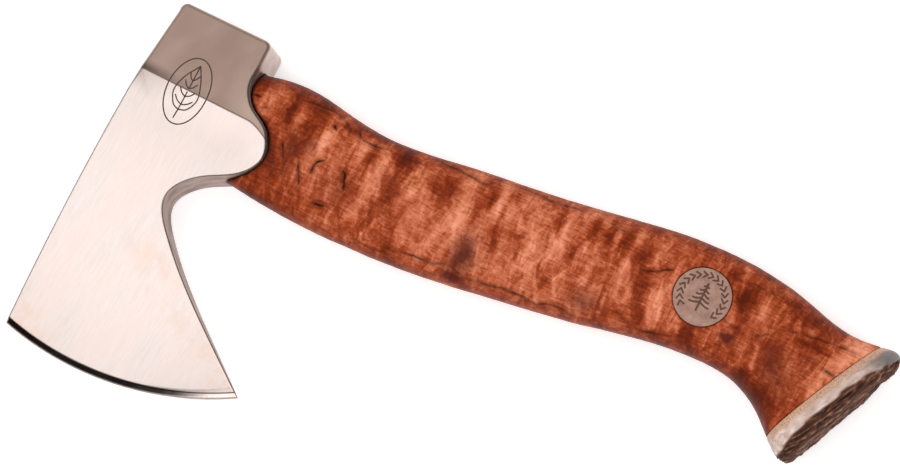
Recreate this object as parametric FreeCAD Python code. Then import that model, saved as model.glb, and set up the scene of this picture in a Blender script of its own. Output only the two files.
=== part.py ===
import FreeCAD, Part
import math
import os

# Small hatchet with a bearded steel head, a curly birch handle and an antler butt cap.
#
# Frame: millimetres, the hatchet lies flat on its side. X runs along the handle towards the butt,
# Y points from the cutting edge to the poll, Z is up. The origin is on the lower cheek, straight
# below the middle of the eye.

os.makedirs("parts", exist_ok=True)

Vector = FreeCAD.Vector

# ---- driving dimensions -------------------------------------------------------------------

# head
CHEEK_THICKNESS = 27.0        # between the two flat cheeks
MID = CHEEK_THICKNESS / 2     # height of the mid-plane, which all pieces share
POLL_Y = 23.4                 # hammer face of the poll
POLL_FRONT_X = -11.6          # end of the poll face at the top of the head
POLL_BACK_X = 20.8            # side of the poll that faces the handle
POLL_CORNER = 2.4             # corner radius between the poll face and the handle side
POLL_FRONT_BEND = [(-13.0, 22.4), (-13.5, 20.0)]   # the poll's softer corner at the top of the head
CREASE_Y = -3.5               # line where the flat cheek ends and the blade bevel starts
CREASE_SLOPE = -0.01          # the crease sinks this much towards the edge for each mm of x
CREASE_DIP = 5.8              # and this much more round the lug,
CREASE_DIP_START = 25.0       # from this x
CREASE_DIP_END = 42.0         # to this x, which is past the lug's tip
CREASE_FRONT = (-16.5, -3.5)  # where the crease meets the top of the head
TOE_SIDE_MIDDLE = (-19.3, -49.0)   # the top of the blade is a very flat arc through here
EDGE_RADIUS = 111.5           # sweep of the cutting edge
EDGE_CENTRE = (6.7, 6.4)      # middle of that sweep
TOE_X = -20.6                 # end of the edge at the top of the head
HEEL_X = 63.6                 # end of the edge at the bottom of the beard
BEVEL_CURVE = 0.2             # 0 is a flat bevel, more is a convex one
BEVEL_STATIONS = 23           # points along x on a bevel's surface
BEVEL_STEPS = 9               # points from crease to edge on it
BEVEL_OVERRUN = 0.1           # the bevel's surface runs on past crease and edge by this share
BEVEL_SIDE_OVERRUN = 10.0     # and past toe and heel by this length
EDGE_SHOULDER = 0.45          # half thickness of the blade where it meets the honed edge
EDGE_FLAT = 0.12              # half thickness of the very edge
HONED_ANGLE = 17.0            # degrees, each side of the honed edge
HONING_REACH = 8.0            # length of the honing cone inside and outside the edge
RIM_CHAMFER = 0.9             # broken rims of cheeks and poll
NECK_DIRECTION = (0, -8)      # the lug and beard curve leaves the neck this way
HEEL_DIRECTION = (26, -20.5)  # and arrives at the heel this way
LUG_AND_BEARD = [
    (POLL_BACK_X, 15.0),      # neck
    (20.6, 8.2),
    (25.0, 0.9),
    (31.6, -3.1),
    (35.9, -12.0),            # tip of the lug
    (30.9, -21.1),
    (18.9, -28.3),
    (10.9, -39.2),            # deepest point of the beard
    (17.2, -50.4),
    (36.4, -68.3),
]

# eye, tongue and wedges
EYE_POWER = 2.6               # how square the eye's oval is
EYE_FRONT = (30.5, 16.5)      # length and width of the eye at the top of the head
EYE_BACK = (27.5, 13.5)       # the same on the handle side
EYE_FRONT_X = -24.0
EYE_BACK_X = 38.0
WEDGE_MOUTH_X = -18.5         # thick ends of tongue and wedges, trimmed flush with the head
KERF_BOTTOM_X = 12.0
WEDGE_TIP_X = 9.0
WEDGE_THICKNESS = (4.2, 1.0)  # wooden wedge at its mouth and at the kerf's bottom
STEEL_WEDGE_TIP_X = -1.0
STEEL_WEDGE_THICKNESS = (2.6, 0.5)
STEEL_WEDGE_WIDTH = 11.0

# handle
SHOULDER_GAP = 0.5            # shadow gap between the handle's shoulder and the head
SECTION_POWER = 2.35          # 2 is an ellipse, more is squarer
SECTION_POINTS = 16

# butt cap
SEAM_X = 241.8                # seam between handle and cap, on the line y = 0
SEAM_SLOPE = 0.48             # the seam's x grows by this much for each mm of y
CAP_THICKNESS = 10.8          # along X, on the line y = 0
CAP_SLOPE = 0.42              # the end face leans a little less than the seam
CAP_ROUNDING = 3.6            # rounded rim of the cap's end
DOWEL_DIAMETER = 6.0
DOWEL_IN_HANDLE = 18.0
DOWEL_IN_CAP = 5.0
DOWEL_Y = {"upper": 9.0, "lower": -11.0}

# inlaid medallion
MEDALLION_DIAMETER = 20.0
MEDALLION_FLOOR_Z = 22.8      # bottom of its recess, about 3 mm under the handle's side
MEDALLION_XY = (191.8, 9.9)

# outline of the handle: x, upper y, lower y, thickness
HANDLE_STATIONS = [
    (14.0, 13.2, -24.4, 25.8),
    (26.0, 14.9, -25.1, 25.8),
    (40.0, 16.2, -26.5, 25.4),
    (58.0, 13.7, -27.3, 25.0),
    (76.0, 13.0, -26.8, 24.6),
    (100.0, 16.3, -24.9, 24.6),
    (128.0, 19.8, -20.6, 24.8),
    (155.0, 24.1, -16.0, 25.0),
    (180.0, 27.8, -10.7, 25.0),
    (198.0, 28.4, -8.9, 24.8),
    (212.0, 27.3, -10.2, 24.8),
    (224.0, 24.9, -16.1, 25.4),
    (234.5, 22.1, -25.2, 26.2),
    (242.0, 21.2, -28.8, 26.6),
    (254.0, 22.3, -27.6, 26.6),
    (266.0, 20.8, -25.6, 26.4),
]

# cutting tools
SPACE = 200.0                 # half the size of the large blocks that cut the pieces


# ---- shared helpers -----------------------------------------------------------------------

def smooth_curve(points, start, end):
    """A spline through points, spaced by their distances, that leaves and arrives along start and end."""
    travelled = [0.0]
    for first, second in zip(points, points[1:]):
        travelled.append(travelled[-1] + first.distanceToPoint(second))
    curve = Part.BSplineCurve()
    curve.interpolate(Points=points, Parameters=travelled, Scale=False,
                      InitialTangent=start.normalize(), FinalTangent=end.normalize())
    return curve.toShape()


def prism(edges, bottom, top):
    """The solid between two heights whose outline is a closed loop of edges at z = 0."""
    face = Part.Face(Part.Wire(Part.__sortEdges__(edges)))
    solid = face.extrude(Vector(0, 0, top - bottom))
    solid.translate(Vector(0, 0, bottom))
    return solid


def oval_wire(centre, across_y, across_z, power):
    """A closed superellipse in the plane across the handle."""
    points = []
    for step in range(SECTION_POINTS):
        turn = 2 * math.pi * step / SECTION_POINTS
        cosine, sine = math.cos(turn), math.sin(turn)
        y = math.copysign(abs(cosine) ** (2 / power), cosine) * across_y / 2
        z = math.copysign(abs(sine) ** (2 / power), sine) * across_z / 2
        points.append(centre + Vector(0, y, z))
    curve = Part.BSplineCurve()
    curve.interpolate(Points=points, PeriodicFlag=True)
    return Part.Wire(curve.toShape())


def tapered_plate(x_wide, x_thin, thickness, width, along):
    """A wedge that thins from x_wide to x_thin; along is the axis its width lies on, Y or Z."""
    wide, thin = thickness
    corners = [(x_wide, -wide / 2), (x_thin, -thin / 2), (x_thin, thin / 2), (x_wide, wide / 2)]
    if along == "Y":
        points = [Vector(x, -width / 2, MID + offset) for x, offset in corners]
        direction = Vector(0, width, 0)
    else:
        points = [Vector(x, offset, MID - width / 2) for x, offset in corners]
        direction = Vector(0, 0, width)
    face = Part.Face(Part.makePolygon(points + points[:1]))
    return face.extrude(direction)


# ---- head ---------------------------------------------------------------------------------

def edge_y(x):
    """The cutting edge's y at a given x."""
    return EDGE_CENTRE[1] - math.sqrt(EDGE_RADIUS ** 2 - (x - EDGE_CENTRE[0]) ** 2)


def flat_point(place):
    """A point at z = 0 from its x and y."""
    return Vector(place[0], place[1], 0)


def head_outline():
    """The head seen from the side, poll up, as a loop of edges."""
    poll_back = Vector(POLL_BACK_X, POLL_Y - POLL_CORNER, 0)
    poll_corner = Vector(POLL_BACK_X - POLL_CORNER, POLL_Y, 0)
    corner_middle = poll_back + (poll_corner - poll_back) / 2
    corner_middle += Vector(1, 1, 0) * POLL_CORNER * (math.sqrt(0.5) - 0.5)
    poll_front = Vector(POLL_FRONT_X, POLL_Y, 0)
    poll_front_middle, poll_front_low = [flat_point(place) for place in POLL_FRONT_BEND]
    crease_front = flat_point(CREASE_FRONT)
    heel = Vector(HEEL_X, edge_y(HEEL_X), 0)
    toe = Vector(TOE_X, edge_y(TOE_X), 0)
    edge_middle = Vector(EDGE_CENTRE[0], edge_y(EDGE_CENTRE[0]), 0)
    lug_and_beard = [flat_point(place) for place in LUG_AND_BEARD] + [heel]
    return [
        Part.Arc(poll_corner, corner_middle, poll_back).toShape(),
        Part.LineSegment(poll_back, lug_and_beard[0]).toShape(),
        smooth_curve(lug_and_beard, flat_point(NECK_DIRECTION), flat_point(HEEL_DIRECTION)),
        Part.Arc(heel, edge_middle, toe).toShape(),
        Part.Arc(toe, flat_point(TOE_SIDE_MIDDLE), crease_front).toShape(),
        Part.LineSegment(crease_front, poll_front_low).toShape(),
        Part.Arc(poll_front_low, poll_front_middle, poll_front).toShape(),
        Part.LineSegment(poll_front, poll_corner).toShape(),
    ]


def blade_half_thickness(share):
    """Half thickness of the convex bevel, from the crease at 0 to the honed edge at 1."""
    fallen = (1 - BEVEL_CURVE) * share + BEVEL_CURVE * share ** 2
    return MID - (MID - EDGE_SHOULDER) * fallen


def evenly(first, last, count):
    """Evenly spaced values from first to last."""
    return [first + (last - first) * step / (count - 1) for step in range(count)]


def crease_y(x):
    """Where the cheek ends and the bevel starts: a line that sinks smoothly round the lug."""
    dipped = (x - CREASE_DIP_START) / (CREASE_DIP_END - CREASE_DIP_START)
    dipped = min(max(dipped, 0), 1)
    return CREASE_Y + CREASE_SLOPE * x - CREASE_DIP * dipped ** 2 * (3 - 2 * dipped)


def bevel_waste(side):
    """What grinding the bevel takes off one side; side is +1 for the upper, -1 for the lower."""
    rows = []
    for x in evenly(TOE_X - BEVEL_SIDE_OVERRUN, HEEL_X + BEVEL_SIDE_OVERRUN, BEVEL_STATIONS):
        row = []
        for share in evenly(-BEVEL_OVERRUN, 1 + BEVEL_OVERRUN, BEVEL_STEPS):
            y = crease_y(x) + share * (edge_y(x) - crease_y(x))
            row.append(Vector(x, y, MID + side * blade_half_thickness(share)))
        rows.append(row)
    surface = Part.BSplineSurface()
    surface.interpolate(rows)
    return surface.toShape().extrude(Vector(0, 0, side * CHEEK_THICKNESS))


def honing_waste(side):
    """What honing takes off one side: a cone about the middle of the edge's sweep."""
    rise = HONING_REACH * math.tan(math.radians(HONED_ANGLE))
    inner = Vector(EDGE_RADIUS - HONING_REACH, 0, EDGE_FLAT + rise)
    outer = Vector(EDGE_RADIUS + HONING_REACH, 0, EDGE_FLAT - rise)
    corner = Vector(outer.x, 0, inner.z)
    face = Part.Face(Part.makePolygon([inner, outer, corner, inner]))
    ring = face.revolve(Vector(0, 0, 0), Vector(0, 0, 1), 360)
    if side < 0:
        ring = ring.mirror(Vector(0, 0, 0), Vector(0, 0, 1))
    ring.translate(Vector(EDGE_CENTRE[0], EDGE_CENTRE[1], MID))
    return ring


def head_block():
    """The head's blank before the bevel, the eye and any rounding."""
    return prism(head_outline(), 0, CHEEK_THICKNESS)


def eye_space():
    """The tapered hole through the head, longer than the head on both sides."""
    sections = []
    for x, (length, width) in ((EYE_FRONT_X, EYE_FRONT), (EYE_BACK_X, EYE_BACK)):
        sections.append(oval_wire(Vector(x, 0, MID), length, width, EYE_POWER))
    return Part.makeLoft(sections, True, True)


def cheek_rims(solid):
    """The sharp rims of both flat cheeks."""
    return [edge for edge in solid.Edges if edge.BoundBox.ZLength < 0.01]


def make_axe_head():
    solid = head_block()
    solid = solid.makeChamfer(RIM_CHAMFER, cheek_rims(solid))
    for side in (1, -1):
        solid = solid.cut(bevel_waste(side))
        solid = solid.cut(honing_waste(side))
    return solid.cut(eye_space())


# ---- handle and cap -----------------------------------------------------------------------

def haft_form():
    """The shaped outside of handle and cap together, from inside the head to past the butt."""
    sections = []
    for x, upper, lower, thickness in HANDLE_STATIONS:
        centre = Vector(x, (upper + lower) / 2, MID)
        sections.append(oval_wire(centre, upper - lower, thickness, SECTION_POWER))
    return Part.makeLoft(sections, True, False)


def beyond_plane(x, slope):
    """All space on the butt side of an upright plane that crosses y = 0 at x and leans by slope."""
    near_top = Vector(x + slope * SPACE, SPACE, -SPACE)
    near_bottom = Vector(x - slope * SPACE, -SPACE, -SPACE)
    far_bottom = near_bottom + Vector(2 * SPACE, 0, 0)
    far_top = near_top + Vector(2 * SPACE, 0, 0)
    face = Part.Face(Part.makePolygon([near_top, near_bottom, far_bottom, far_top, near_top]))
    return face.extrude(Vector(0, 0, 2 * SPACE))


def medallion_space():
    """The recess for the disc, open upwards."""
    base = Vector(MEDALLION_XY[0], MEDALLION_XY[1], MEDALLION_FLOOR_Z)
    return Part.makeCylinder(MEDALLION_DIAMETER / 2, CHEEK_THICKNESS, base)


def make_dowel(y):
    """A plain round dowel across the seam, at right angles to it."""
    direction = Vector(1, -SEAM_SLOPE, 0).normalize()
    seam_point = Vector(SEAM_X + SEAM_SLOPE * y, y, MID)
    start = seam_point - direction * DOWEL_IN_HANDLE
    return Part.makeCylinder(DOWEL_DIAMETER / 2, DOWEL_IN_HANDLE + DOWEL_IN_CAP, start, direction)


def make_steel_wedge():
    plate = tapered_plate(WEDGE_MOUTH_X, STEEL_WEDGE_TIP_X, STEEL_WEDGE_THICKNESS,
                          STEEL_WEDGE_WIDTH, "Z")
    return plate.common(head_block())


def make_eye_wedge(steel_wedge):
    plate = tapered_plate(WEDGE_MOUTH_X, WEDGE_TIP_X, WEDGE_THICKNESS, 2 * EYE_FRONT[0], "Y")
    return plate.common(eye_space()).common(head_block()).cut(steel_wedge)


def make_handle(form, dowels, steel_wedge):
    shoulder_cut = prism(head_outline(), -1, CHEEK_THICKNESS + 1)
    shoulder_cut.translate(Vector(SHOULDER_GAP, 0, 0))
    body = form.cut(shoulder_cut).cut(beyond_plane(SEAM_X, SEAM_SLOPE))
    behind_eye = Part.makeBox(EYE_BACK_X, 2 * SPACE, 2 * SPACE, Vector(0, -SPACE, -SPACE))
    tongue = eye_space().common(head_block().fuse(behind_eye))
    kerf = tapered_plate(WEDGE_MOUTH_X, KERF_BOTTOM_X, WEDGE_THICKNESS, 2 * EYE_FRONT[0], "Y")
    solid = body.fuse(tongue)
    for waste in [kerf, steel_wedge, medallion_space()] + dowels:
        solid = solid.cut(waste)
    return solid.removeSplitter()


def make_butt_cap(form, dowels):
    end_x = SEAM_X + CAP_THICKNESS
    blank = form.common(beyond_plane(SEAM_X, SEAM_SLOPE)).cut(beyond_plane(end_x, CAP_SLOPE))
    end_face = max(blank.Faces, key=lambda face: face.CenterOfMass.x)
    solid = blank.makeFillet(CAP_ROUNDING, end_face.Edges)
    for dowel in dowels:
        solid = solid.cut(dowel)
    return solid


def make_side_medallion(form):
    return form.common(medallion_space())


# ---- write every piece --------------------------------------------------------------------

def main():
    form = haft_form()
    dowels = {name: make_dowel(y) for name, y in DOWEL_Y.items()}
    steel_wedge = make_steel_wedge()
    pieces = {
        "axe_head": make_axe_head(),
        "handle": make_handle(form, list(dowels.values()), steel_wedge),
        "eye_wedge": make_eye_wedge(steel_wedge),
        "steel_wedge": steel_wedge,
        "butt_cap": make_butt_cap(form, list(dowels.values())),
        "side_medallion": make_side_medallion(form),
    }
    for name, dowel in dowels.items():
        pieces["butt_dowel_" + name] = dowel
    for name, shape in pieces.items():
        print(name, "valid", shape.isValid(), "solids", len(shape.Solids), shape.BoundBox)
        shape.exportStep("parts/" + name + ".step")


main()
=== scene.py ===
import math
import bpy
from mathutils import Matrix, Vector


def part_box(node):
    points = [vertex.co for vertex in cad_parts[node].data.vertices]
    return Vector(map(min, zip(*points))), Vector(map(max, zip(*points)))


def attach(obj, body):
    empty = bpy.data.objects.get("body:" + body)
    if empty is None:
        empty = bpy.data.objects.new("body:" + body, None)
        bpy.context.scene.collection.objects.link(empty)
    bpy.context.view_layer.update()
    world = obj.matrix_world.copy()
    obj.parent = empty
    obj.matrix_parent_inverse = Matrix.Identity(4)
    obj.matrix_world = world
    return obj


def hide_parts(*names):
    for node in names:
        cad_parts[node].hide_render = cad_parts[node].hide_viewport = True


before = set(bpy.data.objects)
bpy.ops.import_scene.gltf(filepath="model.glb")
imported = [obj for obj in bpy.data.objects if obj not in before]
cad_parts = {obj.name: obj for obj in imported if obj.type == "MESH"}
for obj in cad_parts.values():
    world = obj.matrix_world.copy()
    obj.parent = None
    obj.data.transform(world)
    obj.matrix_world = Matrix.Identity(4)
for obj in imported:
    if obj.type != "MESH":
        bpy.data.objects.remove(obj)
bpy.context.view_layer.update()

# Studio picture of a small bearded hatchet lying on its side on a pale floor.
# X runs along the handle to its butt, Y from the cutting edge to the poll and Z up. Blender works
# in metres; MM turns the millimetres used for the object's own details into metres.

from types import SimpleNamespace

import bpy
import numpy as np
from mathutils import Matrix, Vector, noise

MM = 0.001
HEAD_LOW, HEAD_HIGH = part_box("axe_head")
HANDLE_LOW, HANDLE_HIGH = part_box("handle")
DISC_LOW, DISC_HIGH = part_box("side_medallion")
MID_Z = (HEAD_LOW.z + HEAD_HIGH.z) / 2

# Shape of the head that its shader follows, in millimetres
HONED_HALF_THICKNESS = 0.80     # the blade's half thickness where honing begins
CREASE_DIP = 5.8                # how far the crease sinks towards the edge as it rounds the lug
CREASE_DIP_START = 25.0         # the x where it begins to sink
CREASE_DIP_END = 42.0           # the x where it would have sunk all the way, past the lug's tip


# ---- node graphs ----------------------------------------------------------------------------

class Graph:
    """A material's node tree, built with short calls. Inputs take a number, a colour or a socket."""

    def __init__(self, name):
        self.material = bpy.data.materials.new(name)
        self.material.use_nodes = True
        self.tree = self.material.node_tree
        self.tree.nodes.clear()

    def node(self, kind, inputs, **settings):
        made = self.tree.nodes.new("ShaderNode" + kind)
        for key, value in settings.items():
            setattr(made, key, value)
        for key, value in inputs.items():
            self.feed(made.inputs[key], value)
        return made

    def feed(self, socket, value):
        if isinstance(value, bpy.types.NodeSocket):
            self.tree.links.new(value, socket)
        else:
            socket.default_value = value

    def position(self, stretch=(1, 1, 1), turn=(0, 0, 0)):
        """Object coordinates in millimetres, turned and then stretched."""
        coordinates = self.node("TexCoord", {}).outputs["Object"]
        scale = [part / MM for part in stretch]
        turned = self.node("Mapping", {"Vector": coordinates, "Rotation": turn})
        return self.node("Mapping", {"Vector": turned.outputs[0], "Scale": scale}).outputs[0]

    def noise(self, vector, scale, detail=4.0, roughness=0.55, distortion=0.0):
        made = self.node("TexNoise", {"Vector": vector, "Scale": scale, "Detail": detail,
                                      "Roughness": roughness, "Distortion": distortion})
        return made.outputs["Fac"]

    def warped(self, vector, amount, scale):
        """A vector pushed about by slow noise, for bands that wander."""
        push = self.node("TexNoise", {"Vector": vector, "Scale": scale, "Detail": 2.0})
        centred = self.node("VectorMath", {0: push.outputs["Color"], 1: (0.5, 0.5, 0.5)},
                            operation="SUBTRACT").outputs[0]
        pushed = self.node("VectorMath", {0: centred, 1: (amount, amount, amount), 2: vector},
                           operation="MULTIPLY_ADD")
        return pushed.outputs[0]

    def calc(self, operation, first, second=0.0, third=0.0):
        made = self.node("Math", {0: first, 1: second, 2: third}, operation=operation)
        return made.outputs[0]

    def times(self, first, *others):
        for other in others:
            first = self.calc("MULTIPLY", first, other)
        return first

    def opposite(self, factor):
        return self.calc("SUBTRACT", 1.0, factor)

    def spread(self, value, low, high, new_low=0.0, new_high=1.0):
        """Maps low..high to new_low..new_high with a smooth clamp."""
        made = self.node("MapRange", {"Value": value, "From Min": low, "From Max": high,
                                      "To Min": new_low, "To Max": new_high},
                         interpolation_type="SMOOTHSTEP")
        return made.outputs[0]

    def ramp(self, value, stops):
        made = self.node("ValToRGB", {"Fac": value})
        ramp = made.color_ramp
        while len(ramp.elements) < len(stops):
            ramp.elements.new(0.5)
        for element, (place, colour) in zip(ramp.elements, stops):
            element.position = place
            element.color = (*colour, 1)
        return made.outputs["Color"]

    def blend(self, factor, first, second, mode="MIX"):
        made = self.node("Mix", {0: factor}, data_type="RGBA", blend_type=mode)
        for socket, value in ((made.inputs[6], first), (made.inputs[7], second)):
            if isinstance(value, tuple):
                value = (*value, 1)
            self.feed(socket, value)
        return made.outputs[2]

    def attribute(self, name):
        return self.node("Attribute", {}, attribute_name=name).outputs["Fac"]

    def bump(self, height, distance_mm, strength=1.0, below=None):
        inputs = {"Height": height, "Distance": distance_mm * MM, "Strength": strength}
        if below is not None:
            inputs["Normal"] = below
        return self.node("Bump", inputs).outputs[0]

    def surface(self, **inputs):
        """Ends the graph with a Principled shader; underscores in names stand for spaces."""
        named = {key.replace("_", " "): value for key, value in inputs.items()}
        for key, value in named.items():
            if isinstance(value, tuple) and len(value) == 3:
                named[key] = (*value, 1)
        shader = self.node("BsdfPrincipled", named)
        self.node("OutputMaterial", {"Surface": shader.outputs[0]})
        return self.material


def srgb(red, green, blue):
    """A colour given as it looks on screen, 0 to 255, in the linear values that shaders take."""
    return tuple(((part / 255 + 0.055) / 1.055) ** 2.4 for part in (red, green, blue))


# ---- places on the head ---------------------------------------------------------------------

def surface_height(node, x, y):
    """The height in metres of a CAD node's upper side over (x, y), given in millimetres."""
    above = Vector((x * MM, y * MM, 1.0))
    hit, place, _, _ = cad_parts[node].ray_cast(above, Vector((0, 0, -1)))
    return place.z if hit else HEAD_HIGH.z


def crease_at(x):
    """The point of the upper crease at this x, in millimetres, found by halving."""
    on_bevel, on_cheek = -12.0, 0.0
    for _ in range(12):
        middle = (on_bevel + on_cheek) / 2
        if surface_height("axe_head", x, middle) < HEAD_HIGH.z - 0.005 * MM:
            on_bevel = middle
        else:
            on_cheek = middle
    return Vector((x, on_cheek))


def beard_ends():
    """The ends of the beard's inner side, at the throat under the lug and at the heel, in mm."""
    spots = [vertex.co.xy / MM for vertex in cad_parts["axe_head"].data.vertices]
    below_lug = [spot for spot in spots if spot.x > 0 and -60 < spot.y < -25]
    by_edge = [spot for spot in spots if spot.y < -90]
    return min(below_lug, key=lambda spot: spot.x), max(by_edge, key=lambda spot: spot.x)


# ---- materials ------------------------------------------------------------------------------
# The head's factors go from 0 to 1, and its places are in millimetres.

def places_on_head(g):
    """What the head's shader asks of a spot: where it is, and on which of the head's surfaces."""
    at = SimpleNamespace(place=g.position())
    apart = g.node("SeparateXYZ", {0: at.place})
    at.along, at.across = apart.outputs[0], apart.outputs[1]
    at.thickness = g.calc("ABSOLUTE", g.calc("SUBTRACT", apart.outputs[2], MID_Z / MM))
    at.above_crease = height_above_crease(g, at.along, at.across)
    at.on_cheek = g.spread(at.above_crease, -0.4, 0.4)
    at.normal = g.node("NewGeometry", {}).outputs["Normal"]
    at.facing_up = g.calc("ABSOLUTE", g.node("SeparateXYZ", {0: at.normal}).outputs[2])
    at.on_side = g.spread(at.facing_up, 0.2, 0.35, 1.0, 0.0)
    return at


def height_above_crease(g, along, across):
    """How far a spot lies from the crease towards the poll."""
    left, right = crease_at(-8), crease_at(20)
    slope = (right.y - left.y) / (right.x - left.x)
    straight = g.calc("MULTIPLY_ADD", along, slope, left.y - slope * left.x)
    dip = g.spread(along, CREASE_DIP_START, CREASE_DIP_END, 0.0, CREASE_DIP)
    return g.calc("SUBTRACT", across, g.calc("SUBTRACT", straight, dip))


def ground_tone(g, at, clouds, lines):
    """The bevel's pale polish and the cheek's browner tone, with a painted highlight on the cheek near
    the lug and a painted highlight on the bevel just below the crease.
    """
    tone = g.ramp(clouds, [(0.30, (0.605, 0.52, 0.49)), (0.70, (0.66, 0.60, 0.59))])
    tone = g.blend(g.spread(lines, 0.3, 0.8, 0.0, 0.3), tone, (0.62, 0.51, 0.45))
    # painted highlight: the bevel is painted lighter just below the crease
    tone = g.blend(g.spread(at.above_crease, -14, -1, 0.0, 0.45), tone, (0.79, 0.69, 0.66))
    cheek = g.ramp(clouds, [(0.34, (0.64, 0.46, 0.39)), (0.66, (0.72, 0.52, 0.445))])
    tone = g.blend(g.times(at.on_cheek, 0.85), tone, cheek)
    # painted highlight: the cheek is painted lighter towards the lug
    lug_highlight = g.times(g.spread(at.along, 12, 27), g.spread(at.above_crease, 18, 4))
    return g.blend(g.times(lug_highlight, at.on_cheek), tone, (0.94, 0.73, 0.63))


def stain(g, at):
    """Patches of warm stain by the toe and along the beard's inner side."""
    throat, heel = beard_ends()
    run = (heel - throat).normalized()
    from_beard = g.calc("SUBTRACT", g.times(g.calc("SUBTRACT", at.along, throat.x), run.y),
                        g.times(g.calc("SUBTRACT", at.across, throat.y), run.x))
    toe = (HEAD_LOW.x / MM, HEAD_LOW.y / MM, MID_Z / MM)
    from_toe = g.node("VectorMath", {0: at.place, 1: toe}, operation="DISTANCE").outputs["Value"]
    near = g.calc("MAXIMUM", g.spread(from_toe, 6, 26, 0.45, 0.0),
                  g.spread(g.calc("ABSOLUTE", from_beard), 1, 9, 0.4, 0.0))
    patches = g.spread(g.noise(at.place, 0.12, 4, 0.6), 0.40, 0.62)
    return g.times(near, patches, g.spread(at.across, throat.y - 10, throat.y, 1.0, 0.0))


def painted_crease_shade(g, at):
    """Painted shade along the crease: a dark line on it, and a dark patch above it that fades towards
    the handle.
    """
    shade_above_crease = g.times(g.spread(at.above_crease, 0.0, 4.2, 1.0, 0.0),
                    g.spread(at.along, -19, 4, 0.9, 0.10), at.on_cheek)
    crease_line_shade = g.spread(g.calc("ABSOLUTE", at.above_crease), 0.05, 0.5, 0.8, 0.0)
    return g.times(g.calc("MAXIMUM", shade_above_crease, crease_line_shade), g.opposite(at.on_side))


def painted_rim_shade(g, at, rounded):
    """Painted shade along the head's rims and on its chamfers, most of it beside the handle, standing in
    for the dark lines that the rims reflect.
    """
    bend = g.node("VectorMath", {0: rounded, 1: at.normal}, operation="DOT_PRODUCT").outputs["Value"]
    on_chamfer = g.calc("SUBTRACT", g.spread(at.facing_up, 0.90, 0.97, 1.0, 0.0), at.on_side)
    by_handle = g.times(g.spread(at.along, 17, 21), g.spread(at.across, 16, 12))
    chamfer_shade = g.times(on_chamfer, g.calc("MULTIPLY_ADD", by_handle, 0.28, 0.6))
    return g.calc("MAXIMUM", g.spread(bend, 0.84, 0.975, 0.9, 0.0), chamfer_shade)


def side_soot_and_shade(g, at, scale_marks):
    """Sooty patches on the head's upright sides, heaviest below the lug; they are also painted shade
    that darkens those sides where the lamps and the glowing floor light them too brightly.
    """
    below_lug = g.spread(at.across, -14.0, -4.0, 0.62, 0.12)
    streaked = g.spread(scale_marks, 0.40, 0.70, 0.0, 0.18)
    return g.times(g.calc("ADD", streaked, below_lug), at.on_side)


def head_steel():
    """Satin ground steel: fine grinding lines, warm clouds, a honed edge, sooty sides that also carry
    painted shade, painted shade along the crease and rims, and painted highlights near the lug and the
    crease.
    """
    g = Graph("head_steel")
    at = places_on_head(g)
    clouds = g.noise(g.position(stretch=(1, 0.45, 1), turn=(0, 0, 0.35)), 0.07, 3, 0.55)
    lines = g.noise(g.position(stretch=(1.7, 0.05, 1.0), turn=(0, 0, 0.08)), 1.0, 3, 0.6)
    specks = g.noise(at.place, 1.1, 4, 0.6)
    scale_marks = g.noise(g.position(stretch=(0.2, 0.2, 0.4)), 0.6, 3, 0.5)
    rounded = g.node("Bevel", {"Radius": 1.0 * MM}, samples=8).outputs[0]

    fully_honed = HONED_HALF_THICKNESS - 0.05
    honed = g.spread(at.thickness, fully_honed, HONED_HALF_THICKNESS + 0.02, 1.0, 0.0)
    from_shoulder = g.calc("ABSOLUTE", g.calc("SUBTRACT", at.thickness, fully_honed))
    # painted shade: a dark line where the honed edge meets the bevel
    honed_shoulder_shade = g.spread(from_shoulder, 0.04, 0.12, 0.9, 0.0)
    # painted shade on the rims, kept off the honed edge
    rim = g.times(painted_rim_shade(g, at, rounded), g.opposite(honed))
    soot_and_shade = side_soot_and_shade(g, at, scale_marks)
    soot_and_shade_tone = g.blend(g.spread(scale_marks, 0.36, 0.66), (0.33, 0.215, 0.17), (0.18, 0.11, 0.085))

    tone = ground_tone(g, at, clouds, lines)
    tone = g.blend(stain(g, at), tone, (0.62, 0.44, 0.36))
    # painted shade along and above the crease
    tone = g.blend(painted_crease_shade(g, at), tone, (0.085, 0.06, 0.05))
    # the upright sides are painted darker and browner, partly as painted shade
    tone = g.blend(g.times(at.on_side, 0.7), tone, (0.57, 0.43, 0.375))
    # sooty patches on the upright sides, partly painted shade
    tone = g.blend(soot_and_shade, tone, soot_and_shade_tone)
    # painted shade on the rims, the chamfers and the line where the honed edge begins
    tone = g.blend(g.calc("MAXIMUM", rim, honed_shoulder_shade), tone, (0.075, 0.055, 0.048))

    roughness = g.calc("MULTIPLY_ADD", lines, 0.06, g.spread(clouds, 0.3, 0.7, 0.17, 0.23))
    roughness = g.calc("MULTIPLY_ADD", honed, -0.12, roughness)
    roughness = g.calc("MULTIPLY_ADD", soot_and_shade, 0.5, roughness)
    bare = g.opposite(g.calc("MAXIMUM", soot_and_shade, g.times(rim, at.on_side)))
    normal = g.bump(lines, 0.006, g.spread(at.on_side, 0.0, 1.0, 0.3, 0.08), below=rounded)
    normal = g.bump(specks, 0.008, 0.25, below=normal)
    return g.surface(Base_Color=tone, Metallic=bare, Roughness=roughness, Normal=normal)


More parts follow.
